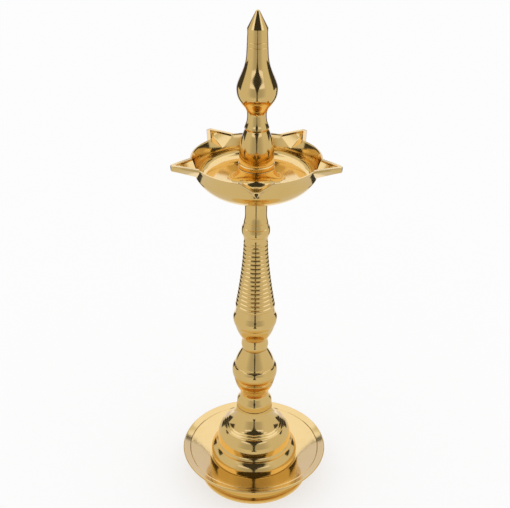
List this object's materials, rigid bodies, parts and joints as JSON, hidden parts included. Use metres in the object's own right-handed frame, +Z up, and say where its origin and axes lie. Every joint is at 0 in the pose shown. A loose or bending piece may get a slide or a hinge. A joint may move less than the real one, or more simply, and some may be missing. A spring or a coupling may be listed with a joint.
{
  "type": "kuthu vilakku standing oil lamp",
  "caption": "Standing brass oil lamp with a saucer foot, bell pedestal, turned stem, open dish with wick spouts and a bud-shaped finial that unscrews.",
  "frame": {"origin": "centre of the foot's ring, on the surface that the lamp stands on", "axes": "+Z up along the stem, -Y towards the spout that faces the viewer"},
  "size_m": [0.14, 0.1419, 0.457],
  "materials": {
    "polished_brass": "turned and polished",
    "cast_brass": "satin",
    "seal": "matt"
  },
  "bodies": {
    "base": {"foot_saucer": "polished_brass", "base_nut": "cast_brass", "base_washer": "cast_brass", "pedestal_bell": "polished_brass", "collar_ring": "polished_brass", "lower_knob": "polished_brass"},
    "neck_ring": {"bead_ring": "polished_brass"},
    "column": {"ribbed_column": "polished_brass"},
    "dish": {"oil_dish": "polished_brass"},
    "seal": {"dish_washer": "seal"},
    "finial": {"finial": "polished_brass"}
  },
  "joints": [
    {"name": "column_turn", "type": "hinge", "parent": "base", "child": "neck_ring", "pos_m": [0, 0, 0.1451], "axis": [0, 0, 1], "range_deg": [0, 1440]},
    {"name": "column_lift", "type": "slide", "parent": "neck_ring", "child": "column", "axis": [0, 0, 1], "range_m": [0, 0.01]},
    {"name": "dish_turn", "type": "hinge", "parent": "column", "child": "dish", "pos_m": [0, 0, 0.2998], "axis": [0, 0, 1], "continuous": true},
    {"name": "finial_turn", "type": "hinge", "parent": "column", "child": "seal", "pos_m": [0, 0, 0.325], "axis": [0, 0, 1], "range_deg": [0, 1440]},
    {"name": "finial_lift", "type": "slide", "parent": "seal", "child": "finial", "axis": [0, 0, 1], "range_m": [0, 0.01]}
  ],
  "couplings": [
    {"joint": "column_lift", "follows": "column_turn", "m_per_rad": 0.00039789},
    {"joint": "finial_lift", "follows": "finial_turn", "m_per_rad": 0.00039789}
  ]
}
